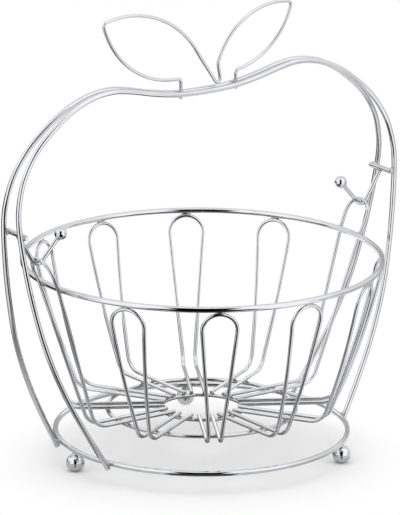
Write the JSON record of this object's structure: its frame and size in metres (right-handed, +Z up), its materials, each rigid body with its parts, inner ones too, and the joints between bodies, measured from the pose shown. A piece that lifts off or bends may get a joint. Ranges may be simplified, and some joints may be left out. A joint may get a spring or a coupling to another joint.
{
  "type": "hanging wire fruit basket",
  "caption": "Round basket of looped wires that swings on wire hooks inside an upright apple-outline wire stand with leaves on top, a base ring and ball feet.",
  "frame": {"origin": "on the floor under the middle of the stand", "axes": "+X across the apple outline to the viewer's right, +Y from front to back, +Z up"},
  "size_m": [0.335, 0.2642, 0.3336],
  "materials": {
    "stand_chrome": "bright mirror chrome on steel wire",
    "foot_chrome": "bright mirror chrome on steel balls",
    "leaf_chrome": "bright mirror chrome on thin steel wire",
    "hook_chrome": "bright mirror chrome on steel wire",
    "rim_chrome": "bright mirror chrome on thick steel wire",
    "loop_chrome": "bright chrome on bent steel wire",
    "floor_ring_chrome": "bright chrome on steel wire, slightly duller underneath"
  },
  "bodies": {
    "stand": {"front_hoop": "stand_chrome", "rear_hoop": "stand_chrome", "base_ring": "stand_chrome", "foot_left": "foot_chrome", "foot_front_right": "foot_chrome", "foot_rear_right": "foot_chrome", "leaf_wire": "leaf_chrome", "left_crossbar": "stand_chrome", "right_crossbar": "stand_chrome", "left_hook": "hook_chrome", "right_hook": "hook_chrome", "left_hook_ball": "foot_chrome", "right_hook_ball": "foot_chrome"},
    "basket": {"rim_ring": "rim_chrome", "bottom_ring": "floor_ring_chrome", "centre_ring": "floor_ring_chrome", "petal_01": "loop_chrome", "petal_02": "loop_chrome", "petal_03": "loop_chrome", "petal_04": "loop_chrome", "petal_05": "loop_chrome", "petal_06": "loop_chrome", "petal_07": "loop_chrome", "petal_08": "loop_chrome", "petal_09": "loop_chrome", "petal_10": "loop_chrome", "left_hanger": "loop_chrome", "right_hanger": "loop_chrome"}
  },
  "joints": [
    {"name": "basket_swing", "type": "hinge", "parent": "stand", "child": "basket", "pos_m": [0, 0, 0.163], "axis": [1, 0, 0], "range_deg": [-30, 30]}
  ]
}
